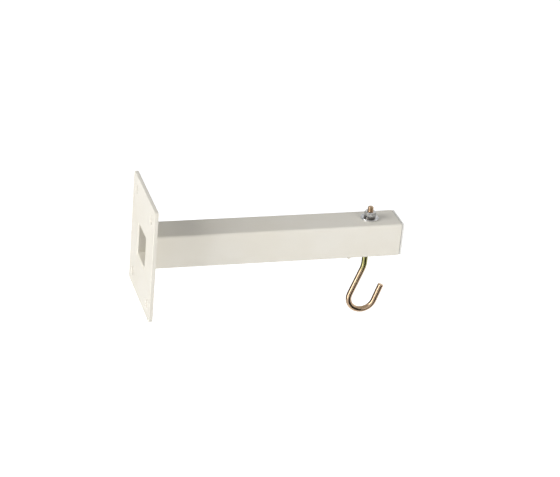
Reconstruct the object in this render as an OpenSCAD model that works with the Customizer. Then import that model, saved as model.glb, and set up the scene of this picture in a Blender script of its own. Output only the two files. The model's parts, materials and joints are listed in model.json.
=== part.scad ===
// Wall arm bracket with a swivelling hook bolt.
// A square tube is welded through a rectangular wall plate, closed by a push-in cap,
// and carries a threaded hook that hangs from a nut and washers on top of the tube.
// The wall face of the plate is the plane X = 0, its centre is the origin,
// and the arm runs out along +X.

/* [Wall plate] */
// Height of the wall plate
plate_h = 118; // [90:1:180]
// Width of the wall plate
plate_w = 95; // [76:1:140]
// Thickness of the wall plate
plate_t = 4; // [3:0.5:8]
// Radius of the plate's four corners
plate_corner_r = 3; // [1:0.5:8]

/* [Wall fixings] */
// Diameter of the four fixing holes
fixing_d = 9; // [5:0.5:12]
// Distance from a fixing hole's centre to the two nearest plate edges
fixing_inset = 14.5; // [8:0.5:15]

/* [Arm tube] */
// Outside width of the square tube
tube_side = 35; // [29:0.5:44]
// Wall thickness of the tube
tube_wall = 1.5; // [1:0.1:2.5]
// Outside corner radius of the tube
tube_corner_r = 2.5; // [2:0.1:4]
// Distance from the wall face to the free end of the tube
arm_reach = 260; // [180:1:420]
// How far the tube's wall end lies behind the wall face
tube_recess = 0.5; // [0.5:0.5:2.5]

/* [Welds] */
// Leg length of the fillet welds between tube and plate
weld_leg = 3; // [2:0.5:5]
// Bare length of tube flat beyond each end of a weld run
weld_stop = 2; // [0:0.5:6]

/* [End cap] */
// Thickness of the cap's flange
cap_flange_t = 3; // [2:0.5:5]
// Radius of the flange's outer rim
cap_rim_r = 1.4; // [0.5:0.1:1.8]
// Step between the tube's outside and the edge of the flange
cap_set_in = 0.2; // [0:0.1:0.8]
// Length of the plug inside the tube
cap_plug_l = 14; // [8:0.5:18]
// Wall thickness of the hollow plug
cap_plug_wall = 2.2; // [1:0.1:3]
// Height of the gripping ribs round the plug
cap_rib_h = 0.8; // [0.4:0.1:1.2]
// Thickness of each gripping rib
cap_rib_t = 1.2; // [0.8:0.1:1.8]
// Number of gripping ribs
cap_ribs = 3; // [1:1:4]

/* [Hook bolt] */
// Diameter of the hook's wire
wire_d = 6; // [5:0.5:8]
// Distance from the tube's free end back to the bolt's axis
bolt_setback = 29; // [24:0.5:45]
// How much smaller the crest of the thread is than the wire
thread_relief = 0.1; // [0:0.05:0.3]
// Length of the threaded part of the bolt
thread_l = 40; // [24:1:44]
// Length of thread that stands above the nut
thread_above = 4.9; // [2:0.1:8]
// Straight shank that hangs below the tube before the first bend
shank_drop = 14; // [10:0.5:25]
// Centre-line radius of the bend between shank and leg
lean_r = 25; // [15:1:35]
// Angle by which the leg leans back from the shank
leg_lean = 20; // [10:1:25]
// Length of the straight leg above the bowl
leg_l = 29.4; // [20:0.1:40]
// Centre-line radius of the hook's bowl
bowl_r = 14; // [11:0.5:18]
// Angle through which the bowl turns
bowl_turn = 182; // [170:1:195]
// Length of the straight end of the hook
tip_l = 18.8; // [10:0.1:24]
// Bevel at both ends of the wire
wire_bevel = 0.8; // [0.3:0.1:1.2]
// How much thicker the wire is in its bends than in its straight runs
bend_swell = 0.01; // [0.01:0.01:0.05]

/* [Nut and washers] */
// Width across the nut's flats
nut_af = 10; // [9:0.5:14]
// Height of the nut
nut_h = 5; // [4:0.1:7]
// Bevel on the nut's corners
nut_bevel = 0.5; // [0.2:0.1:0.8]
// Angle of the nut's first corner from +X
nut_angle = -16; // [-30:1:30]
// Outside diameter of the flat washer
flat_washer_d = 18; // [14:0.5:22]
// Thickness of the flat washer
flat_washer_t = 1.6; // [1:0.1:2]
// Outside diameter of the spring lock washer
lock_washer_d = 11.8; // [11:0.1:15]
// Thickness of the spring lock washer
lock_washer_t = 1.6; // [1:0.1:2]
// Width of the slit in the spring lock washer
lock_slit = 1; // [0.5:0.1:2]
// Angle of that slit from +X
lock_slit_angle = 205; // [0:5:355]

/* [Fits] */
// Gap between the tube and the window in the plate, each side
window_gap = 0.05; // [0.02:0.01:0.2]
// Gap between the cap's ribs and the inside of the tube, each side
cap_gap = 0.02; // [0.01:0.01:0.1]
// Radial running clearance of the nut on the thread
thread_gap = 0.05; // [0.01:0.01:0.1]
// Radial clearance of both washers round the wire
washer_gap = 0.25; // [0.1:0.05:0.5]
// Radial clearance of the wire in the tube's two cross holes
cross_hole_gap = 0.3; // [0.2:0.05:0.6]

/* [Hidden] */
$fn = 64;

// Overshoot of a cutting shape past the face that it cuts
cut = 1;

tube_half = tube_side / 2;
tube_bore = tube_side - 2 * tube_wall;
tube_bore_r = max(tube_corner_r - tube_wall, 0.4);
weld_run = tube_side - 2 * tube_corner_r - 2 * weld_stop;

flange_side = tube_side - 2 * cap_set_in;
plug_side = tube_bore - 2 * cap_gap - 2 * cap_rib_h;
rib_side = tube_bore - 2 * cap_gap;
rib_pitch = cap_plug_l / (cap_ribs + 1);

bolt_x = arm_reach - bolt_setback;
cross_hole_r = wire_d / 2 + cross_hole_gap;
washer_bore_d = wire_d + 2 * washer_gap;
thread_d = wire_d - thread_relief;

// Stack on top of the tube, from its top face upwards
lock_washer_z = tube_half + flat_washer_t;
nut_z = lock_washer_z + lock_washer_t;
bolt_top_z = nut_z + nut_h + thread_above;

// Plain wire between the thread and the first bend
shank_l = bolt_top_z - thread_l + tube_half + shank_drop;

// The wire below the thread: [straight length, bend radius, bend angle],
// where a bend of positive angle turns the wire towards -X
HOOK_STEPS = [
    [shank_l, lean_r, leg_lean],
    [leg_l, bowl_r, -bowl_turn],
    [tip_l - wire_bevel, 0, 0]
];

powder_coat = [0.91, 0.90, 0.86];
cap_plastic = [0.95, 0.95, 0.94];
bright_zinc = [0.74, 0.77, 0.80];
yellow_zinc = [0.74, 0.62, 0.36];

// ---- Outlines ------------------------------------------------------------------

// Rectangle with round corners, centred on the origin
module round_rect(w, h, r) {
    square([w - 2 * r, h], center = true);
    square([w, h - 2 * r], center = true);
    for (x = [-1, 1], y = [-1, 1]) {
        translate([x * (w / 2 - r), y * (h / 2 - r)]) circle(r = r);
    }
}

// Block that runs along +X from x0, with its width w along Y and its height h along Z
module x_block(x0, length, w, h, r) {
    translate([x0, 0, 0])
        rotate([90, 0, 90])
            linear_extrude(length) round_rect(w, h, r);
}

// Ring round the bolt's axis, standing on the plane z
module washer(z, outer_d, thickness) {
    translate([bolt_x, 0, z])
        difference() {
            cylinder(d = outer_d, h = thickness);
            translate([0, 0, -cut]) cylinder(d = washer_bore_d, h = thickness + 2 * cut);
        }
}

// ---- Wall plate, arm and welds ---------------------------------------------------

module fixing_holes() {
    y_out = plate_w / 2 - fixing_inset;
    z_out = plate_h / 2 - fixing_inset;
    for (y = [-y_out, y_out], z = [-z_out, z_out]) {
        translate([-cut, y, z])
            rotate([0, 90, 0]) cylinder(d = fixing_d, h = plate_t + 2 * cut);
    }
}

module wall_plate() {
    window = tube_side + 2 * window_gap;
    color(powder_coat)
        difference() {
            x_block(0, plate_t, plate_w, plate_h, plate_corner_r);
            x_block(-cut, plate_t + 2 * cut, window, window, tube_corner_r + window_gap);
            fixing_holes();
        }
}

module arm_tube() {
    color(powder_coat)
        difference() {
            x_block(tube_recess, arm_reach - tube_recess, tube_side, tube_side, tube_corner_r);
            x_block(tube_recess - cut, arm_reach + 2 * cut, tube_bore, tube_bore, tube_bore_r);
            translate([bolt_x, 0, -tube_half - cut])
                cylinder(r = cross_hole_r, h = tube_side + 2 * cut);
        }
}

// Fillet weld in the corner between the plate's arm side and the top of the tube
module weld_fillet() {
    color(powder_coat)
        translate([plate_t, weld_run / 2, tube_half])
            rotate([90, 0, 0])
                linear_extrude(weld_run) polygon([[0, 0], [weld_leg, 0], [0, weld_leg]]);
}

module weld_top() {
    weld_fillet();
}

module weld_bottom() {
    rotate([180, 0, 0]) weld_fillet();
}

module weld_near() {
    rotate([90, 0, 0]) weld_fillet();
}

module weld_far() {
    rotate([-90, 0, 0]) weld_fillet();
}

// ---- End cap -------------------------------------------------------------------

// Corner post of the flange, with the rounded outer rim at its top
module flange_corner() {
    cylinder(r = tube_corner_r, h = cap_flange_t - cap_rim_r, $fn = 32);
    translate([0, 0, cap_flange_t - cap_rim_r])
        rotate_extrude($fn = 32)
            intersection() {
                translate([tube_corner_r - cap_rim_r, 0]) circle(cap_rim_r, $fn = 32);
                square([tube_corner_r, cap_rim_r]);
            }
}

// Flange with its flat side on the tube's end
module cap_flange() {
    centre = flange_side / 2 - tube_corner_r;
    translate([arm_reach, 0, 0])
        rotate([0, 90, 0])
            hull() {
                for (x = [-centre, centre], y = [-centre, centre]) {
                    translate([x, y, 0]) flange_corner();
                }
            }
}

module cap_plug() {
    pocket = plug_side - 2 * cap_plug_wall;
    plug_x = arm_reach - cap_plug_l;
    difference() {
        union() {
            x_block(plug_x, cap_plug_l, plug_side, plug_side, tube_bore_r);
            for (i = [1 : cap_ribs]) {
                x_block(plug_x + i * rib_pitch - cap_rib_t / 2, cap_rib_t, rib_side, rib_side, tube_bore_r);
            }
        }
        x_block(plug_x - cut, cap_plug_l, pocket, pocket, tube_bore_r);
    }
}

module end_cap() {
    color(cap_plastic) {
        cap_flange();
        cap_plug();
    }
}

// ---- Washers and nut --------------------------------------------------------------

module flat_washer() {
    color(bright_zinc) washer(tube_half, flat_washer_d, flat_washer_t);
}

module lock_washer() {
    color(bright_zinc)
        difference() {
            washer(lock_washer_z, lock_washer_d, lock_washer_t);
            translate([bolt_x, 0, lock_washer_z - cut])
                rotate([0, 0, lock_slit_angle])
                    translate([0, -lock_slit / 2, 0])
                        cube([lock_washer_d, lock_slit, lock_washer_t + 2 * cut]);
        }
}

// Solid of revolution that bevels the corners of the nut at its top and bottom
module nut_envelope(corner_r) {
    slope = nut_bevel * tan(30);
    rotate_extrude()
        polygon([
            [0, 0],
            [corner_r - nut_bevel, 0],
            [corner_r, slope],
            [corner_r, nut_h - slope],
            [corner_r - nut_bevel, nut_h],
            [0, nut_h]
        ]);
}

module hex_nut() {
    corner_r = nut_af / 2 / cos(30);
    color(bright_zinc)
        translate([bolt_x, 0, nut_z])
            difference() {
                intersection() {
                    rotate([0, 0, nut_angle]) cylinder(r = corner_r, h = nut_h, $fn = 6);
                    nut_envelope(corner_r);
                }
                translate([0, 0, -cut])
                    cylinder(r = thread_d / 2 + thread_gap, h = nut_h + 2 * cut);
            }
}

// ---- Hook bolt -----------------------------------------------------------------

// Arc of wire that starts at the origin heading for -Z and turns towards -X,
// or towards +X when the angle is negative
module wire_bend(radius, angle) {
    mirror([angle < 0 ? 1 : 0, 0, 0])
        translate([-radius, 0, 0])
            rotate([-90, 0, 0])
                rotate_extrude(angle = abs(angle))
                    translate([radius, 0]) circle(d = wire_d + bend_swell);
}

// Wire that starts at the origin heading for -Z and follows HOOK_STEPS from step i on
module wire(i) {
    run = HOOK_STEPS[i][0];
    radius = HOOK_STEPS[i][1];
    angle = HOOK_STEPS[i][2];
    translate([0, 0, -run]) {
        cylinder(d = wire_d, h = run);
        if (i == len(HOOK_STEPS) - 1) {
            translate([0, 0, -wire_bevel])
                cylinder(d1 = wire_d - 2 * wire_bevel, d2 = wire_d, h = wire_bevel);
        } else {
            wire_bend(radius, angle);
            translate([-sign(angle) * radius * (1 - cos(angle)), 0, -radius * sin(abs(angle))])
                rotate([0, angle, 0]) wire(i + 1);
        }
    }
}

module hook_bolt() {
    color(yellow_zinc)
        translate([bolt_x, 0, bolt_top_z - thread_l]) {
            cylinder(d = thread_d, h = thread_l - wire_bevel);
            translate([0, 0, thread_l - wire_bevel])
                cylinder(d1 = thread_d, d2 = thread_d - 2 * wire_bevel, h = wire_bevel);
            wire(0);
        }
}

wall_plate();
arm_tube();
weld_top();
weld_bottom();
weld_near();
weld_far();
end_cap();
flat_washer();
lock_washer();
hex_nut();
hook_bolt();
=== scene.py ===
"""Looks of a welded wall arm bracket with a swivelling hook, built round its packed CAD frame."""

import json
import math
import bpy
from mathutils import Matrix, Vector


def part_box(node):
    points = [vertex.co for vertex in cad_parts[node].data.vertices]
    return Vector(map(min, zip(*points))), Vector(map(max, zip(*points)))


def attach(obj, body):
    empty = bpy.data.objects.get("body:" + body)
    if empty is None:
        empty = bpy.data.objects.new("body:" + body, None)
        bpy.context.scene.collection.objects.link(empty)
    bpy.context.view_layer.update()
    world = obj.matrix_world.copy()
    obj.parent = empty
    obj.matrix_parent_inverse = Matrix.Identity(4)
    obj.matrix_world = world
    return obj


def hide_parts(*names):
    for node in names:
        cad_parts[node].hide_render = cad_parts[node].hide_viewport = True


bl_info = {
    "name": "Wall Arm Bracket",
    "version": (1, 0, 0),
    "blender": (4, 5, 0),
    "location": "3D View > Sidebar > Bracket",
    "description": "Builds the finished surfaces of a wall arm bracket with a hook",
    "category": "Object",
}

import bmesh
import bpy
from bpy.props import FloatProperty, FloatVectorProperty, IntProperty, PointerProperty
from bpy.types import Operator, Panel, PropertyGroup
from mathutils import Matrix, Vector
from mathutils.geometry import delaunay_2d_cdt

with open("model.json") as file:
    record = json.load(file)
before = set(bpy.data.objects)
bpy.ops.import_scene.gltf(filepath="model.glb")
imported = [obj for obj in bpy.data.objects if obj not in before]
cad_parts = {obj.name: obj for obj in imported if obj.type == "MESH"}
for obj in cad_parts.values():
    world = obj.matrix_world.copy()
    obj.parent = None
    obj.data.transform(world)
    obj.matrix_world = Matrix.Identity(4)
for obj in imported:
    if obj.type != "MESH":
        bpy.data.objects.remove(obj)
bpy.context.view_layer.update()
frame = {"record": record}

MM = 0.001


def mount(name):
    """The record's entry for one mount."""
    return next(m for m in frame["record"]["mounts"] if m["name"] == name)


PLATE_LO, PLATE_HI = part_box("wall_plate")
TUBE_LO, TUBE_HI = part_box("arm_tube")
CAP_LO, CAP_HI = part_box("end_cap")
WASHER_LO, WASHER_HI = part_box("flat_washer")
LOCK_LO, LOCK_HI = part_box("lock_washer")
NUT_LO, NUT_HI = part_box("hex_nut")
HOOK_LO, HOOK_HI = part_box("hook_bolt")
FIXINGS = mount("wall_fixings")["dims"]
BOLT_X = (WASHER_LO.x + WASHER_HI.x) / 2
TUBE_HALF = TUBE_HI.z
THREAD_LEAD = 2 * math.pi / abs(frame["record"]["behaviour"]["couplings"][0]["ratio"])
# Depth of a metric thread as a share of its pitch
THREAD_DEPTH = 0.6134
WHITE = (1.0, 1.0, 1.0, 1.0)


# ---- Settings -------------------------------------------------------------------------


def length(name, text, default_mm, low_mm=0.0, high_mm=1000.0):
    """A length that is shown in scene units and given here in millimetres."""
    return FloatProperty(
        name=name, description=text, default=default_mm * MM, min=low_mm * MM, max=high_mm * MM,
        subtype="DISTANCE", unit="LENGTH", precision=5,
    )


def turn(name, text, degrees):
    """An angle that is given here in degrees."""
    return FloatProperty(
        name=name, description=text, default=math.radians(degrees), subtype="ANGLE", unit="ROTATION"
    )


def tint(name, text, colour):
    """A linear RGB colour."""
    return FloatVectorProperty(
        name=name, description=text, default=colour, size=3, min=0.0, max=1.0, subtype="COLOR"
    )


def share(name, text, value):
    """A number from 0 to 1."""
    return FloatProperty(name=name, description=text, default=value, min=0.0, max=1.0, subtype="FACTOR")


class CoatSettings(PropertyGroup):
    """Powder coat of the plate, the tube and the welds."""

    colour: tint("Coat", "Colour of the powder coat", (0.810, 0.778, 0.700))
    warm_colour: tint("Warm patches", "Colour where the coat is thinner", (0.792, 0.755, 0.667))
    roughness: share("Roughness", "Mean roughness of the coat", 0.38)
    peel_size: length("Peel size", "Width of one dimple of the orange peel", 1.4)
    peel_depth: length("Peel depth", "Depth of the orange peel", 0.12)


class ArmSettings(PropertyGroup):
    """Edges and walls of the plate and the tube."""

    plate_corner: length("Plate corner", "Radius of the plate's corners", 3.0)
    plate_edge: length("Plate edge", "Rounding along the plate's edges", 0.7)
    window_gap: length("Window gap", "Gap between the tube and the plate's window", 0.05)
    tube_corner: length("Tube corner", "Outside corner radius of the tube", 2.5)
    tube_wall: length("Tube wall", "Wall thickness of the tube", 1.5)
    tube_rim: length("Tube rim", "Rounding of the tube's two ends", 0.6)
    cross_hole: length("Cross hole", "Radius of the holes for the bolt", 3.3)
    drip_reach: share("Drip place", "Place of the coating drip along the tube", 0.80)
    drip_radius: length("Drip radius", "Radius of the coating drip", 1.3)


class WeldSettings(PropertyGroup):
    """Shape of the fillet welds."""

    ripple: length("Ripple pitch", "Distance from one ripple of the bead to the next", 1.9)
    ripple_depth: share("Ripple depth", "Depth of a ripple as a share of the bead", 0.09)
    crown: share("Crown", "Bulge of the bead beyond a flat fillet", 0.22)


class CapSettings(PropertyGroup):
    """Sizes of the push-in end cap."""

    colour: tint("Plastic", "Colour of the cap", (0.86, 0.855, 0.82))
    rim: length("Rim", "Radius of the flange's outer rim", 1.4)
    flange: length("Flange", "Thickness of the flange", 3.0)
    crown: length("Crown", "Height of the crown on the outer face", 0.15)
    gate_radius: length("Gate mark", "Radius of the moulding gate's mark", 1.6)
    gate_depth: length("Gate depth", "Depth of the gate's mark", 0.25)
    plug_wall: length("Plug wall", "Wall thickness of the hollow plug", 2.2)
    rib_height: length("Rib height", "Height of the gripping ribs", 0.8)
    rib_width: length("Rib width", "Thickness of a gripping rib", 1.2)
    ribs: IntProperty(name="Ribs", description="Number of gripping ribs", default=3, min=1, max=4)
    groove: length("Groove", "Narrow gap between the flange and the tube's end", 0.45)
    side_points: IntProperty(name="Side points", description="Points along each side", default=12, min=0)


class FastenerSettings(PropertyGroup):
    """Sizes and colours of the washers, the nut and the thread."""

    bright: tint("Bright zinc", "Colour of the bright plating", (0.80, 0.79, 0.78))
    blue: tint("Blue tint", "Colour of the plating's blue bloom", (0.50, 0.53, 0.56))
    # The lock washer's colour is partly its own dark finish and partly painted shade under the nut.
    spring_and_shade: tint("Spring steel", "Colour of the lock washer", (0.24, 0.22, 0.20))
    bore_gap: length("Washer clearance", "Radial clearance of the washers", 0.25)
    slit: length("Slit", "Width of the lock washer's slit", 1.0)
    slit_angle: turn("Slit angle", "Direction of the lock washer's slit from +X", 205.0)
    nut_angle: turn("Nut angle", "Direction of the nut's first corner from +X", -16.0)
    nut_flats: length("Across flats", "Width across the nut's flats", 10.0)
    thread_length: length("Thread length", "Length of the bolt's thread", 40.0)


class HookSettings(PropertyGroup):
    """Bends and colours of the hook's wire."""

    wire: length("Wire", "Diameter of the wire", 6.0)
    relief: length("Crest relief", "How much smaller the thread's crest is than the wire", 0.1)
    shank: length("Shank", "Straight shank below the tube", 14.0)
    lean_radius: length("Lean radius", "Centre-line radius of the bend above the leg", 25.0)
    lean: turn("Lean", "Angle of the leg from the shank", 20.0)
    leg: length("Leg", "Length of the leg", 29.4)
    bowl_radius: length("Bowl radius", "Centre-line radius of the bowl", 14.0)
    bowl_turn: turn("Bowl turn", "Angle that the bowl turns through", 182.0)
    tip: length("Tip", "Length of the straight tip", 18.8)
    bevel: length("Bevel", "Bevel at the wire's ends", 0.8)
    green_height: length("Green height", "Height at which the passivate is greenest", -25.0, -90.0, 40.0)
    gold: tint("Gold", "Main colour of the yellow passivate", (0.600, 0.455, 0.275))
    olive: tint("Olive", "Green colour of the passivate", (0.360, 0.345, 0.140))
    copper: tint("Copper", "Pink colour of the passivate", (0.600, 0.420, 0.300))


class StageSettings(PropertyGroup):
    """Floor, lights, cards and camera."""

    floor_drop: length("Floor drop", "Height of the bracket above the floor", 420.0)
    floor: tint("Floor", "Colour of the floor", (0.86, 0.86, 0.86))
    glow: FloatProperty(name="Floor glow", description="White that the camera sees", default=0.72, min=0.0)
    sky: FloatProperty(name="Sky", description="Strength of the even light", default=0.30, min=0.0)
    ceiling: share("Ceiling", "Brightness of the ceiling that reflections see", 0.5)
    floor_gloss: share("Floor in gloss", "Whiteness of the floor that reflections see", 0.1)
    card_glow: FloatProperty(
        name="Card glow", description="Brightness of the white card on the left", default=4.8, min=0.0
    )
    edge_glow: FloatProperty(
        name="Edge glow", description="Brightness of the two cards on the right", default=1.1, min=0.0
    )
    felt_glow: share("Felt glow", "Brightness of the dark card behind, on the left", 0.12)
    card_height: length("Card height", "Height of the upright cards above the arm's axis", 350.0)
    key: FloatProperty(name="Key", description="Power of the side light", default=37.1, unit="POWER")
    fill: FloatProperty(name="Fill", description="Power of the front light", default=17.6, unit="POWER")
    azimuth: turn("Azimuth", "Camera's heading from +Y towards +X", 18.139)
    elevation: turn("Elevation", "Camera's angle above the floor", 26.977)
    roll: turn("Roll", "Camera's turn about its own axis", 5.389)
    distance: length("Distance", "Camera's distance from the middle of the arm", 1801.2, 100.0, 9000.0)
    aim: share("Aim", "Point on the arm that the camera looks at", 0.5369)
    lens: FloatProperty(name="Lens", description="Focal length in millimetres", default=117.34, min=10.0)


# ---- Mesh helpers -----------------------------------------------------------------------


def add_object(name, mesh):
    """Puts a mesh into the scene as an object at the origin."""
    piece = bpy.data.objects.new(name, mesh)
    bpy.context.scene.collection.objects.link(piece)
    return piece


def make_piece(name, vertices, faces):
    """A smooth-shaded object from vertices and faces."""
    mesh = bpy.data.meshes.new(name)
    mesh.from_pydata([tuple(v) for v in vertices], [], faces)
    mesh.validate()
    shape = bmesh.new()
    shape.from_mesh(mesh)
    bmesh.ops.recalc_face_normals(shape, faces=shape.faces)
    shape.to_mesh(mesh)
    shape.free()
    for polygon in mesh.polygons:
        polygon.use_smooth = True
    return add_object(name, mesh)


def apply_modifiers(piece):
    """Replaces a piece's mesh by what its modifiers make of it."""
    view = bpy.context.evaluated_depsgraph_get()
    finished = bpy.data.meshes.new_from_object(piece.evaluated_get(view))
    piece.modifiers.clear()
    rough, piece.data = piece.data, finished
    finished.name = piece.name
    bpy.data.meshes.remove(rough)


def even_normals(piece):
    """Lets large flat faces set the shading of the roundings beside them."""
    weigh = piece.modifiers.new("even_normals", "WEIGHTED_NORMAL")
    weigh.keep_sharp = True
    apply_modifiers(piece)


def skin(rings, close_rows=False):
    """Quads between closed rings of equal length, as (vertices, faces)."""
    count = len(rings[0])
    vertices = [point for ring in rings for point in ring]
    faces = []
    rows = len(rings) if close_rows else len(rings) - 1
    for i in range(rows):
        a, b = i * count, (i + 1) % len(rings) * count
        for j in range(count):
            k = (j + 1) % count
            faces.append((a + j, a + k, b + k, b + j))
    return vertices, faces


def skin_with_ends(rings):
    """Quads between closed rings, with a fan over the first and the last ring."""
    vertices, faces = skin(rings)
    count = len(rings[0])
    for ring, offset, flip in ((rings[0], 0, True), (rings[-1], (len(rings) - 1) * count, False)):
        centre = sum((Vector(p) for p in ring), Vector()) / count
        hub = len(vertices)
        vertices.append(centre)
        for j in range(count):
            a, b = offset + j, offset + (j + 1) % count
            faces.append((hub, b, a) if flip else (hub, a, b))
    return vertices, faces


def smoothstep(low, high, value):
    """0 below low, 1 above high, and a smooth rise between."""
    t = min(max((value - low) / (high - low), 0.0), 1.0)
    return t * t * (3 - 2 * t)


def quarter(steps):
    """Sine and cosine pairs from 0 to 90 degrees."""
    angles = [i * math.pi / 2 / steps for i in range(steps + 1)]
    return [(math.sin(a), math.cos(a)) for a in angles]


def rounding(radius, steps):
    """(rise, inset) pairs round an edge, from flat against the end to flush with the side."""
    return [(radius * (1 - c), radius * (1 - s)) for s, c in quarter(steps)]


def round_rectangle(width, height, radius, steps=8, side_points=0):
    """Points of a rectangle with round corners, anticlockwise round the origin."""
    arcs = []
    for corner, (sx, sy) in enumerate(((1, 1), (-1, 1), (-1, -1), (1, -1))):
        x, y = sx * (width / 2 - radius), sy * (height / 2 - radius)
        angles = [math.pi / 2 * (corner + i / steps) for i in range(steps + 1)]
        arcs.append([(x + radius * math.cos(a), y + radius * math.sin(a)) for a in angles])
    shares = [(i + 1) / (side_points + 1) for i in range(side_points)]
    points = []
    for arc, following in zip(arcs, arcs[1:] + arcs[:1]):
        (ax, ay), (bx, by) = arc[-1], following[0]
        points += arc
        points += [(ax + (bx - ax) * t, ay + (by - ay) * t) for t in shares]
    return points


def circle(radius, steps, centre=(0.0, 0.0)):
    """Points of a circle, anticlockwise."""
    angles = [2 * math.pi * i / steps for i in range(steps)]
    return [(centre[0] + radius * math.cos(a), centre[1] + radius * math.sin(a)) for a in angles]


def lathe(axis_x, profile, steps=96):
    """Rings of a closed profile of (radius, height) points turned about the bolt's axis."""
    return [[Vector((axis_x + x, y, z)) for x, y in circle(radius, steps)] for radius, z in profile]


# ---- Material helpers ---------------------------------------------------------------------


class Shader:
    """Builds one node material, with short names for the nodes it uses."""

    def __init__(self, name):
        self.material = bpy.data.materials.new(name + "_finish")
        self.material.use_nodes = True
        self.tree = self.material.node_tree
        self.tree.nodes.clear()
        self.surface = self.tree.nodes.new("ShaderNodeBsdfPrincipled")
        output = self.tree.nodes.new("ShaderNodeOutputMaterial")
        self.tree.links.new(self.surface.outputs["BSDF"], output.inputs["Surface"])
        self.place = self.tree.nodes.new("ShaderNodeTexCoord").outputs["Object"]

    def link(self, source, target):
        """Joins an output to an input, or sets the input when the source is a plain value."""
        if isinstance(source, bpy.types.NodeSocket):
            self.tree.links.new(source, target)
        else:
            target.default_value = source

    def stretched(self, scale):
        """The object's own coordinates, scaled along each axis."""
        node = self.tree.nodes.new("ShaderNodeMapping")
        node.inputs["Scale"].default_value = scale
        self.link(self.place, node.inputs["Vector"])
        return node.outputs["Vector"]

    def noise(self, feature, detail=2.0, roughness=0.5, place=None, distortion=0.0):
        """Noise whose features are about this wide, in metres."""
        node = self.tree.nodes.new("ShaderNodeTexNoise")
        self.link(place or self.place, node.inputs["Vector"])
        node.inputs["Scale"].default_value = 1 / feature
        node.inputs["Detail"].default_value = detail
        node.inputs["Roughness"].default_value = roughness
        node.inputs["Distortion"].default_value = distortion
        return node.outputs["Fac"]

    def cells(self, feature):
        """Distance to the middle of random cells of this width."""
        node = self.tree.nodes.new("ShaderNodeTexVoronoi")
        self.link(self.place, node.inputs["Vector"])
        node.inputs["Scale"].default_value = 1 / feature
        return node.outputs["Distance"]

    def height(self):
        """Z of the object's own coordinates."""
        node = self.tree.nodes.new("ShaderNodeSeparateXYZ")
        self.link(self.place, node.inputs["Vector"])
        return node.outputs["Z"]

    def math(self, operation, a, b=0.0):
        """One arithmetic step."""
        node = self.tree.nodes.new("ShaderNodeMath")
        node.operation = operation
        self.link(a, node.inputs[0])
        self.link(b, node.inputs[1])
        return node.outputs["Value"]

    def spread(self, value, low, high, out_low=0.0, out_high=1.0):
        """Maps a range of values to another, clamped."""
        node = self.tree.nodes.new("ShaderNodeMapRange")
        self.link(value, node.inputs["Value"])
        ends = {"From Min": low, "From Max": high, "To Min": out_low, "To Max": out_high}
        for socket, number in ends.items():
            node.inputs[socket].default_value = number
        return node.outputs["Result"]

    def mix(self, amount, a, b):
        """Mixes two colours."""
        node = self.tree.nodes.new("ShaderNodeMix")
        node.data_type = "RGBA"
        sockets = {socket.identifier: socket for socket in (*node.inputs, *node.outputs)}
        self.link(amount, sockets["Factor_Float"])
        self.link(a, sockets["A_Color"])
        self.link(b, sockets["B_Color"])
        return sockets["Result_Color"]

    def bump(self, height, depth, under=None):
        """Relief of this depth, in metres, laid over an earlier one."""
        node = self.tree.nodes.new("ShaderNodeBump")
        node.inputs["Distance"].default_value = depth
        node.inputs["Strength"].default_value = 1.0
        self.link(height, node.inputs["Height"])
        if under:
            self.link(under, node.inputs["Normal"])
        return node.outputs["Normal"]

    def set(self, **sockets):
        """Sets or links sockets of the surface, named with underscores for spaces."""
        for name, value in sockets.items():
            self.link(value, self.surface.inputs[name.replace("_", " ")])
        return self.material


def rgba(colour, factor=1.0):
    """An RGBA tuple of a colour, made lighter or darker."""
    return tuple(min(c * factor, 1.0) for c in colour) + (1.0,)


def powder_coat():
    """Satin off-white powder coat: orange peel, thin warm patches and a few nibs."""
    look = bpy.context.scene.bracket_coat
    shader = Shader("powder_coat")
    patches = shader.spread(shader.noise(38 * MM, detail=3.0), 0.38, 0.66)
    colour = shader.mix(patches, rgba(look.colour), rgba(look.warm_colour))
    specks = shader.spread(shader.noise(0.45 * MM, detail=1.0), 0.60, 0.74, 0.0, 0.10)
    colour = shader.mix(specks, colour, rgba(look.warm_colour, 0.82))
    gloss = shader.noise(6 * MM, detail=4.0, roughness=0.6)
    peel = shader.bump(shader.noise(look.peel_size, detail=1.5), look.peel_depth)
    nibs = shader.spread(shader.cells(9 * MM), 0.0, 0.045, 1.0, 0.0)
    relief = shader.bump(nibs, 0.05 * MM, under=peel)
    relief = shader.bump(shader.noise(0.25 * MM, detail=0.0), 0.004 * MM, under=relief)
    return shader.set(
        Base_Color=colour,
        Roughness=shader.spread(gloss, 0.3, 0.7, look.roughness - 0.05, look.roughness + 0.07),
        Normal=relief,
        IOR=1.5,
    )


def cap_plastic():
    """White moulded plastic with a fine spark texture and faint flow lines."""
    look = bpy.context.scene.bracket_cap
    shader = Shader("cap_plastic")
    flow = shader.noise(9 * MM, detail=3.0, distortion=1.5)
    colour = shader.mix(shader.spread(flow, 0.35, 0.7), rgba(look.colour), rgba(look.colour, 0.965))
    relief = shader.bump(shader.noise(0.35 * MM, detail=3.0, roughness=0.7), 0.02 * MM)
    return shader.set(
        Base_Color=colour, Roughness=shader.spread(flow, 0.3, 0.7, 0.42, 0.54), Normal=relief, IOR=1.49
    )


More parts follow.
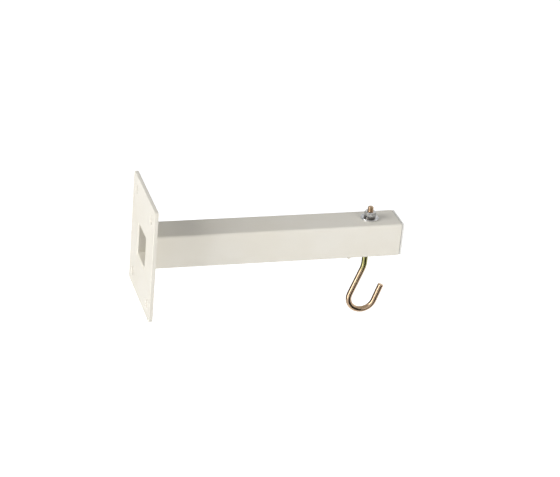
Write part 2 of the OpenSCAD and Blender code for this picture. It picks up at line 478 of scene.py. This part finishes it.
def bright_zinc():
    """Bright zinc plate with a blue bloom, fine tooling lines and tiny dents."""
    look = bpy.context.scene.bracket_fasteners
    shader = Shader("bright_zinc")
    bloom = shader.spread(shader.noise(3.2 * MM, detail=3.0, distortion=0.8), 0.42, 0.66)
    colour = shader.mix(bloom, rgba(look.bright), rgba(look.blue))
    grain = shader.noise(0.5 * MM, detail=3.0, place=shader.stretched((1.0, 1.0, 6.0)))
    colour = shader.mix(shader.spread(grain, 0.5, 0.8, 0.0, 0.35), colour, rgba(look.bright, 0.62))
    relief = shader.bump(grain, 0.012 * MM)
    relief = shader.bump(shader.noise(1.6 * MM, detail=2.0), 0.05 * MM, under=relief)
    return shader.set(
        Base_Color=colour, Metallic=1.0, Roughness=shader.spread(bloom, 0.0, 1.0, 0.12, 0.26), Normal=relief
    )


def spring_steel_and_shade():
    """Plated spring steel of the lock washer, made dark partly as its own finish and partly as painted
    shade under the nut, with a rubbed top edge.
    """
    look = bpy.context.scene.bracket_fasteners
    shader = Shader("spring_steel_and_shade")
    stain = shader.spread(shader.noise(1.4 * MM, detail=4.0, distortion=0.6), 0.35, 0.7)
    # The dark colour is partly the washer's own finish and partly painted shade under the nut.
    colour = shader.mix(stain, rgba(look.spring_and_shade), rgba(look.spring_and_shade, 0.55))
    rubbed = shader.spread(shader.height(), LOCK_HI.z - 0.35 * MM, LOCK_HI.z - 0.1 * MM, 0.0, 0.5)
    colour = shader.mix(rubbed, colour, rgba(look.bright, 0.7))
    relief = shader.bump(shader.noise(0.4 * MM, detail=3.0), 0.02 * MM)
    return shader.set(
        Base_Color=colour, Metallic=1.0, Roughness=shader.spread(stain, 0.0, 1.0, 0.32, 0.46), Normal=relief
    )


def yellow_zinc():
    """Yellow passivated zinc: gold that drifts to olive and to copper, over drawn wire."""
    look = bpy.context.scene.bracket_hook
    shader = Shader("yellow_zinc")
    drift = shader.noise(11 * MM, detail=2.0, distortion=1.2)
    from_neck = shader.math("ABSOLUTE", shader.math("SUBTRACT", shader.height(), look.green_height))
    greener = shader.spread(from_neck, 4 * MM, 24 * MM, 0.20, -0.22)
    olive = shader.spread(shader.math("ADD", drift, greener), 0.46, 0.66)
    colour = shader.mix(olive, rgba(look.gold), rgba(look.olive))
    bands = shader.noise(4.5 * MM, detail=3.0, distortion=2.0)
    copper = shader.spread(shader.math("SUBTRACT", bands, greener), 0.50, 0.80, 0.0, 0.85)
    colour = shader.mix(copper, colour, rgba(look.copper))
    grime = shader.spread(shader.noise(0.9 * MM, detail=4.0, roughness=0.65), 0.52, 0.76, 0.0, 0.55)
    colour = shader.mix(grime, colour, rgba(look.olive, 0.40))
    drawn = shader.noise(0.3 * MM, detail=2.0, place=shader.stretched((1.0, 1.0, 0.12)))
    relief = shader.bump(drawn, 0.012 * MM)
    relief = shader.bump(shader.noise(2.4 * MM, detail=2.0), 0.06 * MM, under=relief)
    return shader.set(
        Base_Color=colour, Metallic=1.0, Roughness=shader.spread(bands, 0.3, 0.7, 0.12, 0.22), Normal=relief
    )


FINISHES = (powder_coat, cap_plastic, bright_zinc, spring_steel_and_shade, yellow_zinc)
MAKERS = {maker.__name__: maker for maker in FINISHES}


def finish_piece(piece, body, slot, *nodes, finish=None):
    """Gives a piece its finish, its body and the CAD nodes that it stands for."""
    finish = finish or slot
    material = bpy.data.materials.get(finish + "_finish") or MAKERS[finish]()
    piece.data.materials.clear()
    piece.data.materials.append(material)
    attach(piece, body)
    if nodes:
        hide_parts(*nodes)
    return piece


# ---- Wall plate -----------------------------------------------------------------------------


def plate_rims(arm):
    """Outlines of the plate, its window and its holes, each as a function of an inset into the metal."""
    width, height = PLATE_HI.y - PLATE_LO.y, PLATE_HI.z - PLATE_LO.z
    window = TUBE_HI.y - TUBE_LO.y + 2 * arm.window_gap
    window_radius = arm.tube_corner + arm.window_gap
    hole = FIXINGS["hole_r_mm"] * MM
    half_y, half_z = FIXINGS["spacing_x_mm"] * MM / 2, FIXINGS["spacing_y_mm"] * MM / 2

    def outside(inset):
        return round_rectangle(width - 2 * inset, height - 2 * inset, arm.plate_corner - inset)

    def inside(inset):
        return round_rectangle(window + 2 * inset, window + 2 * inset, window_radius + inset)[::-1]

    def drilled(y, z):
        return lambda inset: circle(hole + inset, 48, (y, z))[::-1]

    holes = [drilled(y, z) for y in (-half_y, half_y) for z in (-half_z, half_z)]
    return [outside, inside] + holes


def plate_mesh(arm):
    """Vertices and faces of the plate: rounded rims joined by a flat web on both faces."""
    edge = rounding(arm.plate_edge, 4)
    levels = [(inset, PLATE_LO.x + rise) for rise, inset in edge]
    levels += [(inset, PLATE_HI.x - rise) for rise, inset in edge[::-1]]
    vertices, faces = [], []
    web = {0: [], len(levels) - 1: []}
    for rim in plate_rims(arm):
        rings = [[Vector((x, y, z)) for y, z in rim(inset)] for inset, x in levels]
        base, count = len(vertices), len(rings[0])
        more, quads = skin(rings)
        vertices += more
        faces += [tuple(base + i for i in quad) for quad in quads]
        for level, loops in web.items():
            loops.append([base + level * count + i for i in range(count)])
    for level, loops in web.items():
        faces += web_faces(vertices, loops, facing_wall=level == 0)
    return vertices, faces


def web_faces(vertices, loops, facing_wall):
    """Triangles of the flat web between one outer loop and the loops inside it."""
    order = [i for loop in loops for i in loop]
    flat = [Vector((vertices[i].y, vertices[i].z)) for i in order]
    first, edges = 0, []
    for loop in loops:
        edges += [(first + i, first + (i + 1) % len(loop)) for i in range(len(loop))]
        first += len(loop)
    outputs_inside, merging_distance = 1, 1e-7
    triangles = delaunay_2d_cdt(flat, edges, [], outputs_inside, merging_distance)[2]
    inner = [[Vector((vertices[i].y, vertices[i].z)) for i in loop] for loop in loops[1:]]
    kept = []
    for triangle in triangles:
        middle = sum((flat[i] for i in triangle), Vector((0, 0))) / 3
        if not any(holds(loop, middle) for loop in inner):
            corners = tuple(order[i] for i in triangle)
            kept.append(corners[::-1] if facing_wall else corners)
    return kept


def holds(loop, point):
    """Whether a convex loop of 2D points goes round a point."""
    signs = [(b - a).cross(point - a) > 0 for a, b in zip(loop, loop[1:] + loop[:1])]
    return all(signs) or not any(signs)


class BRACKET_OT_plate(Operator):
    """Build the wall plate with its window and fixing holes"""

    bl_idname = "bracket.plate"
    bl_label = "Wall plate"

    def execute(self, context):
        piece = make_piece("plate", *plate_mesh(context.scene.bracket_arm))
        even_normals(piece)
        finish_piece(piece, "arm", "powder_coat", "wall_plate")
        return {"FINISHED"}


# ---- Arm tube -------------------------------------------------------------------------------


def tube_rings(arm):
    """Rings of the tube's skin: out along its outside and back along its bore."""
    side, rim = TUBE_HI.y - TUBE_LO.y, arm.tube_rim
    bore = side - 2 * arm.tube_wall
    smallest_corner = 0.4 * MM
    bore_corner = max(arm.tube_corner - arm.tube_wall, smallest_corner)

    def ring(x, width, radius):
        return [Vector((x, y, z)) for y, z in round_rectangle(width, width, radius)]

    def outer(x, inset):
        return ring(x, side - 2 * inset, arm.tube_corner - inset)

    def inner(x, inset):
        return ring(x, bore + 2 * inset, bore_corner + inset)

    edge = rounding(rim, 3)
    outside = [outer(TUBE_LO.x + rise, inset) for rise, inset in edge]
    outside += [outer(TUBE_HI.x - rise, inset) for rise, inset in edge[::-1]]
    inside = [inner(TUBE_HI.x - rise, inset) for rise, inset in edge]
    inside += [inner(TUBE_LO.x + rise, inset) for rise, inset in edge[::-1]]
    return outside + inside


def cut_cross_holes(tube, arm):
    """Drills the bolt's two holes through the tube and softens their edges."""
    reach = 2 * TUBE_HALF
    rings = [
        [Vector((BOLT_X + x, y, z)) for x, y in circle(arm.cross_hole, 64)] for z in (-reach, reach)
    ]
    drill = make_piece("drill", *skin_with_ends(rings))
    cut = tube.modifiers.new("drilled", "BOOLEAN")
    cut.object = drill
    cut.operation = "DIFFERENCE"
    cut.solver = "EXACT"
    soften = tube.modifiers.new("softened", "BEVEL")
    soften.width = 0.25 * MM
    soften.segments = 2
    soften.limit_method = "ANGLE"
    soften.angle_limit = math.radians(60)
    apply_modifiers(tube)
    bpy.data.objects.remove(drill)


class BRACKET_OT_tube(Operator):
    """Build the square arm tube with its cross holes"""

    bl_idname = "bracket.tube"
    bl_label = "Arm tube"

    def execute(self, context):
        arm = context.scene.bracket_arm
        piece = make_piece("tube", *skin(tube_rings(arm), close_rows=True))
        cut_cross_holes(piece, arm)
        even_normals(piece)
        finish_piece(piece, "arm", "powder_coat", "arm_tube")
        return {"FINISHED"}


class BRACKET_OT_drip(Operator):
    """Build the small drip of coating under the tube"""

    bl_idname = "bracket.drip"
    bl_label = "Coating drip"

    def execute(self, context):
        arm = context.scene.bracket_arm
        radius = arm.drip_radius
        x = TUBE_LO.x + arm.drip_reach * (TUBE_HI.x - TUBE_LO.x)
        y = TUBE_LO.y + arm.tube_corner
        sunk, stretch, hang, foot, tip = 0.1 * MM, 1.15, 1.35, 0.35, 0.02
        rings = []
        for s, c in quarter(8):
            flare = radius * (c ** 0.7 + foot * c ** 6)
            z = TUBE_LO.z + sunk - hang * radius * s
            outline = circle(max(flare, radius * tip), 32)
            rings.append([Vector((x + stretch * u, y + v, z)) for u, v in outline])
        piece = make_piece("drip", *skin_with_ends(rings))
        finish_piece(piece, "arm", "powder_coat")
        return {"FINISHED"}


# ---- Welds ----------------------------------------------------------------------------------


def weld_reach(place, half, leg, weld):
    """Size of the bead at a place along it: rippled, a little uneven and rounded at its ends."""
    past = max(0.0, abs(place) - half + leg) / leg
    smallest = 0.12  # share of the leg that is left at the ends
    taper = max(math.sqrt(max(0.0, 1 - past ** 2)), smallest)
    ripple = 1 - weld.ripple_depth * abs(math.sin(math.pi * place / weld.ripple)) ** 0.6
    slow_wave = 0.05 * math.sin(place * 900)
    fast_wave = 0.04 * math.sin(place * 2300 + 1)
    return leg * taper * ripple * min(1 + slow_wave + fast_wave, 1.0)


def weld_rings(low, high, side, weld):
    """Rings along one fillet weld. side is the direction from the tube's axis to the weld."""
    out = Vector((1, 0, 0))
    along = out.cross(side)
    half = abs((high - low).dot(along)) / 2
    leg = high.x - low.x
    foot = Vector((low.x, 0, 0)) + side * (abs((low + high).dot(side)) / 2 - leg / 2)
    steps = int(2 * half / weld.ripple * 10)
    overlap = 0.2 * MM
    rings = []
    for i in range(steps + 1):
        place = -half + 2 * half * i / steps
        reach = weld_reach(place, half, leg, weld)
        centre = foot + along * place
        ring = [centre - out * overlap - side * overlap]
        for k in range(9):
            angle = math.pi / 2 * k / 8
            across = out * math.cos(angle) + side * math.sin(angle)
            flat = 1 / (math.cos(angle) + math.sin(angle))
            ring.append(centre + across * reach * min(flat + weld.crown * math.sin(2 * angle), 1.0))
        rings.append(ring)
    return rings


class BRACKET_OT_welds(Operator):
    """Build the four rippled fillet welds between tube and plate"""

    bl_idname = "bracket.welds"
    bl_label = "Welds"

    def execute(self, context):
        weld = context.scene.bracket_weld
        sides = {
            "weld_top": Vector((0, 0, 1)),
            "weld_bottom": Vector((0, 0, -1)),
            "weld_near": Vector((0, -1, 0)),
            "weld_far": Vector((0, 1, 0)),
        }
        for node, side in sides.items():
            low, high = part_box(node)
            piece = make_piece(node + "_bead", *skin_with_ends(weld_rings(low, high, side, weld)))
            finish_piece(piece, "arm", "powder_coat", node)
        return {"FINISHED"}


# ---- End cap --------------------------------------------------------------------------------


def rib_points(middle, cap, plug_half, rib_half):
    """One gripping rib: a steep back, a flat top, and a slope on the side that goes in first."""
    corners = ((0.5, plug_half), (0.42, rib_half), (-0.2, rib_half), (-0.5, plug_half))
    return [(middle + cap.rib_width * x, half, MM) for x, half in corners]


def cap_profile(cap):
    """Points (x, half width, corner radius) from the middle of the outer face to the pocket's floor."""
    arm = bpy.context.scene.bracket_arm
    top, seat, end = CAP_HI.x, CAP_HI.x - cap.flange + cap.groove, CAP_LO.x
    half, corner = (CAP_HI.y - CAP_LO.y) / 2, arm.tube_corner
    rib_gap, soft, smallest_corner = 0.02 * MM, 0.5 * MM, 0.3 * MM
    rib_half = TUBE_HALF - arm.tube_wall - rib_gap
    plug_half = rib_half - cap.rib_height
    pocket_half = plug_half - cap.plug_wall
    profile = []
    for out in (0.72, 0.8, 0.88, 0.94, 0.98, 1.0):
        profile.append((top - cap.crown * out ** 2, (half - cap.rim) * out, corner * out * 0.6))
    for s, c in quarter(6):
        drop = cap.crown + (cap.rim - cap.crown) * (1 - c)
        inset = cap.rim * (1 - s)
        profile.append((top - drop, half - inset, max(corner - inset, smallest_corner)))
    for s, c in quarter(3):
        inset = soft * (1 - c)
        profile.append((seat + soft * (1 - s), half - inset, corner - inset))
    profile.append((seat, plug_half, MM))
    pitch = (seat - end) / (cap.ribs + 1)
    for i in range(cap.ribs, 0, -1):
        profile += rib_points(end + pitch * i, cap, plug_half, rib_half)
    profile += [(end + soft, plug_half, MM), (end, plug_half - soft, MM), (end, pocket_half, MM)]
    profile.append((seat - MM, pocket_half, MM))
    return profile


def cap_rings(cap):
    """Rings of the whole cap, with round rings inside the outer face for the gate's mark."""
    profile = cap_profile(cap)
    _, first_half, first_corner = profile[0]
    square = round_rectangle(2 * first_half, 2 * first_half, first_corner, 4, cap.side_points)
    rings = []
    gate_radii = (0.15, 0.7, 0.9, 1.0, 1.12, 2.0, 4.0)
    for radius in gate_radii:
        reach = cap.gate_radius * radius
        blend = smoothstep(1.1, 5.0, radius)
        dip = cap.gate_depth * (1 - smoothstep(0.75, 1.05, radius))
        ring = []
        for y, z in square:
            away = math.hypot(y, z)
            scale = (1 - blend) * reach / away + blend * reach / first_half
            ring.append(Vector((CAP_HI.x - dip, y * scale, z * scale)))
        rings.append(ring)
    for x, half, corner in profile:
        outline = round_rectangle(2 * half, 2 * half, corner, 4, cap.side_points)
        rings.append([Vector((x, y, z)) for y, z in outline])
    return rings


class BRACKET_OT_cap(Operator):
    """Build the push-in end cap with its ribbed plug"""

    bl_idname = "bracket.cap"
    bl_label = "End cap"

    def execute(self, context):
        piece = make_piece("cap", *skin_with_ends(cap_rings(context.scene.bracket_cap)))
        even_normals(piece)
        finish_piece(piece, "arm", "cap_plastic", "end_cap")
        return {"FINISHED"}


# ---- Washers and nut ------------------------------------------------------------------------


def washer_profile(bore, outside, low, high):
    """Closed profile of a stamped washer: rolled over on top, sharp below."""
    roll, edge = 0.35 * MM, 0.08 * MM
    profile = [(bore, low + edge), (bore, high - roll / 2), (bore + roll / 2, high)]
    profile += [(outside - roll * (1 - s), high - roll * (1 - c)) for s, c in quarter(4)]
    profile += [(outside, low + edge), (outside - edge, low), (bore + edge, low)]
    return profile


def lock_washer_rings(look, bore):
    """Sections round the split washer, its two ends a little out of line."""
    soft, twist, steps = 0.18 * MM, 0.10 * MM, 72
    outside = (LOCK_HI.y - LOCK_LO.y) / 2
    low, high = LOCK_LO.z, LOCK_HI.z - twist
    section = [
        (bore, low + soft), (bore + soft, low), (outside - soft, low), (outside, low + soft),
        (outside, high - soft), (outside - soft, high), (bore + soft, high), (bore, high - soft),
    ]
    mean_radius = outside / 1.3
    half_gap = look.slit / 2 / mean_radius
    rings = []
    for i in range(steps + 1):
        t = i / steps
        angle = look.slit_angle + half_gap + t * (2 * math.pi - 2 * half_gap)
        x, y = math.cos(angle), math.sin(angle)
        rings.append([Vector((BOLT_X + r * x, r * y, z + twist * t)) for r, z in section])
    return rings


class BRACKET_OT_washers(Operator):
    """Build the flat washer and the split lock washer"""

    bl_idname = "bracket.washers"
    bl_label = "Washers"

    def execute(self, context):
        look = context.scene.bracket_fasteners
        bore = context.scene.bracket_hook.wire / 2 + look.bore_gap
        outside = (WASHER_HI.y - WASHER_LO.y) / 2
        rings = lathe(BOLT_X, washer_profile(bore, outside, WASHER_LO.z, WASHER_HI.z))
        flat = make_piece("flat_washer_disc", *skin(rings, close_rows=True))
        even_normals(flat)
        finish_piece(flat, "arm", "bright_zinc", "flat_washer")
        lock = make_piece("lock_washer_ring", *skin_with_ends(lock_washer_rings(look, bore)))
        even_normals(lock)
        # The lock washer's darker finish is partly painted shade under the nut.
        finish_piece(lock, "swivel", "bright_zinc", "lock_washer", finish="spring_steel_and_shade")
        return {"FINISHED"}


def hexagon_radius(flats, angle):
    """Distance from a hexagon's middle to its side, where the first corner is at angle 0."""
    from_flat = (angle + math.pi / 6) % (math.pi / 3) - math.pi / 6
    return flats / 2 / math.cos(math.pi / 6 - abs(from_flat))


def nut_rings(look, bore):
    """Rings of the nut: up the bore, over the bevelled top, down the flats and under."""
    low, high = NUT_LO.z, NUT_HI.z
    corner_cut, sink, lip, flat_width = 0.06 * MM, 0.45 * MM, 0.03 * MM, 0.1 * MM
    corner = look.nut_flats / 2 / math.cos(math.pi / 6) - corner_cut
    face = look.nut_flats / 2 * 0.95
    fall = (corner - face) * math.tan(math.radians(30))
    steps = 96

    def ring(radius, z):
        points = []
        for i in range(steps):
            angle = 2 * math.pi * i / steps
            r = min(radius, hexagon_radius(look.nut_flats, angle))
            turned = look.nut_angle + angle
            points.append(Vector((BOLT_X + r * math.cos(turned), r * math.sin(turned), z)))
        return points

    bevel = [(face + (corner - face) * i / 6, fall * i / 6) for i in range(7)]
    rings = [ring(bore, low + sink), ring(bore, high - sink), ring(bore + sink, high)]
    rings += [ring(face - flat_width, high)]
    rings += [ring(radius, high - lip - drop) for radius, drop in bevel]
    rings += [ring(radius, low + lip + rise) for radius, rise in bevel[::-1]]
    rings += [ring(face - flat_width, low), ring(bore + sink, low)]
    return rings


class BRACKET_OT_nut(Operator):
    """Build the hexagon nut"""

    bl_idname = "bracket.nut"
    bl_label = "Nut"

    def execute(self, context):
        look, hook = context.scene.bracket_fasteners, context.scene.bracket_hook
        running_gap = 0.05 * MM
        bore = (hook.wire - hook.relief) / 2 + running_gap
        piece = make_piece("nut", *skin(nut_rings(look, bore), close_rows=True))
        bevel = piece.modifiers.new("soft_corners", "BEVEL")
        bevel.width = 0.12 * MM
        bevel.segments = 2
        bevel.limit_method = "ANGLE"
        bevel.angle_limit = math.radians(50)
        even_normals(piece)
        finish_piece(piece, "nut", "bright_zinc", "hex_nut")
        return {"FINISHED"}


# ---- Hook bolt ------------------------------------------------------------------------------


def thread_radius(crest, turns):
    """Radius of a 60 degree thread with flat crests and roots, at a height in turns."""
    to_root = 1 - abs(turns % 1.0 - 0.5) * 2
    return crest - THREAD_DEPTH * THREAD_LEAD * smoothstep(0.12, 0.80, to_root)


def thread_rings(hook, look, sides):
    """Rings down the threaded end of the bolt, from its bevelled top."""
    rings_per_turn, tip_inset, tip_slope, run_out_length = 12, 0.15 * MM, 1.1, 2.5 * MM
    crest = (hook.wire - hook.relief) / 2
    tip = crest - THREAD_DEPTH * THREAD_LEAD - tip_inset
    rows = int(look.thread_length / THREAD_LEAD * rings_per_turn)
    rings = []
    for i in range(rows + 1):
        depth = look.thread_length * i / rows
        z = HOOK_HI.z - depth
        run_out = smoothstep(look.thread_length - run_out_length, look.thread_length, depth)
        ring = []
        for k in range(sides):
            angle = 2 * math.pi * k / sides
            radius = thread_radius(crest, z / THREAD_LEAD - k / sides)
            radius = min(radius + (hook.wire / 2 - radius) * run_out, tip + depth * tip_slope)
            ring.append(Vector((BOLT_X + radius * math.cos(angle), radius * math.sin(angle), z)))
        rings.append(ring)
    return rings


def wire_path(hook, look):
    """Centre line of the plain wire below the thread, as (point, heading) pairs in the XZ plane."""
    straight = HOOK_HI.z - look.thread_length + TUBE_HALF + hook.shank
    point, heading = Vector((BOLT_X, 0, HOOK_HI.z - look.thread_length)), math.radians(-90)
    path = []

    def run(distance, steps):
        nonlocal point
        step = Vector((math.cos(heading), 0, math.sin(heading))) * distance / steps
        for _ in range(steps):
            point = point + step
            path.append((point.copy(), heading))

    def bend(radius, angle, steps):
        nonlocal point, heading
        side = 1 if angle > 0 else -1
        centre = point + Vector((-math.sin(heading), 0, math.cos(heading))) * radius * side
        for _ in range(steps):
            heading += angle / steps
            point = centre + Vector((math.sin(heading), 0, -math.cos(heading))) * radius * side
            path.append((point.copy(), heading))

    run(straight, 14)
    bend(hook.lean_radius, -hook.lean, 16)
    run(hook.leg, 20)
    bend(hook.bowl_radius, hook.bowl_turn, 72)
    run(hook.tip - hook.bevel, 14)
    return path


def wire_rings(hook, look, sides):
    """Rings along the wire, a little flattened in its bends, with a sheared and bevelled end."""
    radius = hook.wire / 2
    path = wire_path(hook, look)
    flattening, ease, full_bend = 0.012, 0.25, 1 / 30
    rings, last_heading = [], path[0][1]
    bending = 0.0
    for point, heading in path:
        turning = min(abs(heading - last_heading) / full_bend, 1.0)
        bending += (turning - bending) * ease
        last_heading = heading
        rings.append(wire_ring(point, heading, radius * (1 - flattening * bending), radius, sides))
    end, heading = path[-1]
    ahead = Vector((math.cos(heading), 0, math.sin(heading)))
    for s, c in quarter(4)[1:]:
        tip = radius - hook.bevel * 0.75 * (1 - c)
        rings.append(wire_ring(end + ahead * hook.bevel * s, heading, tip, tip, sides))
    return rings


def wire_ring(point, heading, in_plane, across, sides):
    """One ring of wire, square to its heading, that lines up with the rings of the thread."""
    normal = Vector((-math.sin(heading), 0, math.cos(heading)))
    return [
        point + normal * in_plane * math.cos(angle) + Vector((0, across * math.sin(angle), 0))
        for angle in (2 * math.pi * k / sides for k in range(sides))
    ]


class BRACKET_OT_hook(Operator):
    """Build the hook bolt: rolled thread, shank, leg, bowl and tip"""

    bl_idname = "bracket.hook"
    bl_label = "Hook bolt"

    def execute(self, context):
        hook, look = context.scene.bracket_hook, context.scene.bracket_fasteners
        sides = 40
        rings = thread_rings(hook, look, sides) + wire_rings(hook, look, sides)
        piece = make_piece("hook", *skin_with_ends(rings))
        finish_piece(piece, "hook", "yellow_zinc", "hook_bolt")
        return {"FINISHED"}


# ---- Stage ----------------------------------------------------------------------------------


def step(tree, operation, *values):
    """One arithmetic node of a stage material, fed by outputs or by plain numbers."""
    node = tree.nodes.new("ShaderNodeMath")
    node.operation = operation
    for value, socket in zip(values, node.inputs):
        if isinstance(value, bpy.types.NodeSocket):
            tree.links.new(value, socket)
        else:
            socket.default_value = value
    return node.outputs["Value"]


def seen_whiteness(tree, in_gloss):
    """1 for camera and transmission rays, in_gloss for glossy rays, 0 for rays that carry light."""
    path = tree.nodes.new("ShaderNodeLightPath")
    seen = step(tree, "MAXIMUM", path.outputs["Is Camera Ray"], path.outputs["Is Transmission Ray"])
    gloss = step(tree, "MULTIPLY", path.outputs["Is Glossy Ray"], in_gloss)
    return step(tree, "MAXIMUM", seen, gloss)


def light_world(stage):
    """Even sky light, and a white background that reflections see fade into a darker ceiling."""
    world = bpy.data.worlds.new("studio")
    world.use_nodes = True
    tree = world.node_tree
    background = tree.nodes["Background"]
    background.inputs["Color"].default_value = WHITE
    split = tree.nodes.new("ShaderNodeSeparateXYZ")
    tree.links.new(tree.nodes.new("ShaderNodeTexCoord").outputs["Generated"], split.inputs["Vector"])
    ceiling = tree.nodes.new("ShaderNodeMapRange")
    fade = {"From Min": 0.0, "From Max": 0.9, "To Min": 0.9, "To Max": stage.ceiling}
    for socket, number in fade.items():
        ceiling.inputs[socket].default_value = number
    tree.links.new(split.outputs["Z"], ceiling.inputs["Value"])
    strength = step(tree, "MAXIMUM", seen_whiteness(tree, ceiling.outputs["Result"]), stage.sky)
    tree.links.new(strength, background.inputs["Strength"])
    bpy.context.scene.world = world


def lay_floor(stage):
    """A wide pale floor under the bracket that the camera sees as white, shadow and all."""
    reach, z = 6.0, HOOK_LO.z - stage.floor_drop
    corners = [(-reach, -reach, z), (reach, -reach, z), (reach, reach, z), (-reach, reach, z)]
    floor = make_piece("floor", corners, [(0, 1, 2, 3)])
    shader = Shader("floor")
    shade = shader.spread(shader.noise(0.9, detail=2.0), 0.3, 0.7)
    colour = shader.mix(shade, rgba(stage.floor), rgba(stage.floor, 0.985))
    glow = shader.math("MULTIPLY", seen_whiteness(shader.tree, stage.floor_gloss), stage.glow)
    shader.set(Base_Color=colour, Roughness=0.9, Emission_Color=WHITE, Emission_Strength=glow)
    floor.data.materials.append(shader.material)


def place_card(name, corners, glow):
    """A card that only reflections see: a white one glows, a dark one is felt."""
    card = make_piece(name, corners, [(0, 1, 2, 3)])
    shader = Shader(name)
    felt = shader.spread(shader.noise(4 * MM, detail=4.0), 0.3, 0.7)
    colour = shader.mix(felt, (0.015, 0.015, 0.015, 1.0), (0.03, 0.03, 0.03, 1.0))
    shader.set(Base_Color=colour, Roughness=1.0, Emission_Color=WHITE, Emission_Strength=glow)
    card.data.materials.append(shader.material)
    card.visible_camera = False
    card.visible_diffuse = False
    card.visible_shadow = False


def place_cards(stage):
    """White and dark cards round the hook, some upright and some lying on the floor."""
    foot, head = HOOK_LO.z - stage.floor_drop, stage.card_height
    upright = {
        "card_left": ((-0.80, -0.05), (-0.30, 0.90), stage.felt_glow),
        "card_white": ((-0.95, -0.25), (-0.80, -0.48), stage.card_glow),
        "card_right": ((0.30, -0.95), (0.85, -0.55), 0.0),
        "card_edge": ((1.00, -0.35), (0.45, 0.85), stage.edge_glow),
    }
    lying = {
        "card_front": ((-0.20, -1.30), (0.70, -0.40), 0.0),
        "card_under": ((-0.25, -0.30), (0.85, 0.60), stage.edge_glow),
    }
    for name, ((x0, y0), (x1, y1), glow) in upright.items():
        x0, x1 = BOLT_X + x0, BOLT_X + x1
        place_card(name, [(x0, y0, foot), (x1, y1, foot), (x1, y1, head), (x0, y0, head)], glow)
    z = foot + 10 * MM
    for name, ((x0, y0), (x1, y1), glow) in lying.items():
        x0, x1 = BOLT_X + x0, BOLT_X + x1
        place_card(name, [(x0, y0, z), (x1, y0, z), (x1, y1, z), (x0, y1, z)], glow)


def hang_softbox(name, place, target, side, power, shines=True):
    """A square soft light that faces a point. Where it doesn't shine, reflections leave it out."""
    lamp = bpy.data.lights.new(name, "AREA")
    lamp.shape = "RECTANGLE"
    lamp.size = lamp.size_y = side
    lamp.energy = power
    holder = bpy.data.objects.new(name, lamp)
    holder.location = place
    holder.visible_glossy = shines
    holder.rotation_euler = (target - place).to_track_quat("-Z", "Y").to_euler()
    bpy.context.scene.collection.objects.link(holder)


def aim_camera(stage):
    """Puts the camera at its heading, height and roll, looking at a point on the arm."""
    a, e = stage.azimuth, stage.elevation
    ahead = Vector((math.sin(a) * math.cos(e), math.cos(a) * math.cos(e), -math.sin(e)))
    aim = Vector((TUBE_HI.x * stage.aim, 0, 0))
    camera = bpy.data.objects.new("camera", bpy.data.cameras.new("camera"))
    camera.data.sensor_width = 36.0
    camera.data.lens = stage.lens
    turned = ahead.to_track_quat("-Z", "Y").to_matrix() @ Matrix.Rotation(stage.roll, 3, "Z")
    camera.matrix_world = Matrix.Translation(aim - ahead * stage.distance) @ turned.to_4x4()
    bpy.context.scene.collection.objects.link(camera)
    bpy.context.scene.camera = camera


class BRACKET_OT_stage(Operator):
    """Build the floor, the lights and the camera"""

    bl_idname = "bracket.stage"
    bl_label = "Stage"

    def execute(self, context):
        stage = context.scene.bracket_stage
        middle = Vector((TUBE_HI.x / 2, 0, 0))
        light_world(stage)
        lay_floor(stage)
        hang_softbox("side_light", Vector((-1.7, -0.3, 0.75)), middle, 1.3, stage.key)
        hang_softbox("front_light", Vector((1.1, -1.5, 0.4)), middle, 1.1, stage.fill, shines=False)
        place_cards(stage)
        aim_camera(stage)
        context.scene.view_settings.view_transform = "Standard"
        return {"FINISHED"}


# ---- Panel and registration -----------------------------------------------------------------


PIECES = (
    BRACKET_OT_plate, BRACKET_OT_tube, BRACKET_OT_drip, BRACKET_OT_welds, BRACKET_OT_cap,
    BRACKET_OT_washers, BRACKET_OT_nut, BRACKET_OT_hook, BRACKET_OT_stage,
)
SETTINGS = {
    "bracket_coat": CoatSettings,
    "bracket_arm": ArmSettings,
    "bracket_weld": WeldSettings,
    "bracket_cap": CapSettings,
    "bracket_fasteners": FastenerSettings,
    "bracket_hook": HookSettings,
    "bracket_stage": StageSettings,
}


class BRACKET_PT_panel(Panel):
    """Lists the bracket's pieces and the stage"""

    bl_idname = "BRACKET_PT_panel"
    bl_label = "Wall arm bracket"
    bl_space_type = "VIEW_3D"
    bl_region_type = "UI"
    bl_category = "Bracket"

    def draw(self, context):
        for piece in PIECES:
            self.layout.operator(piece.bl_idname)
        for name, group in SETTINGS.items():
            box = self.layout.box()
            box.label(text=group.__doc__)
            for setting in group.__annotations__:
                box.prop(getattr(context.scene, name), setting)


def register():
    """Registers the settings, the operators and the panel."""
    for kind in (*SETTINGS.values(), *PIECES, BRACKET_PT_panel):
        bpy.utils.register_class(kind)
    for name, group in SETTINGS.items():
        setattr(bpy.types.Scene, name, PointerProperty(type=group))


def unregister():
    """Removes what register added."""
    for name in SETTINGS:
        delattr(bpy.types.Scene, name)
    for kind in reversed((*SETTINGS.values(), *PIECES, BRACKET_PT_panel)):
        bpy.utils.unregister_class(kind)


def main():
    """Builds every piece and the stage in order."""
    register()
    for piece in PIECES:
        group, action = piece.bl_idname.split(".")
        getattr(getattr(bpy.ops, group), action)()


if __name__ == "__main__":
    main()
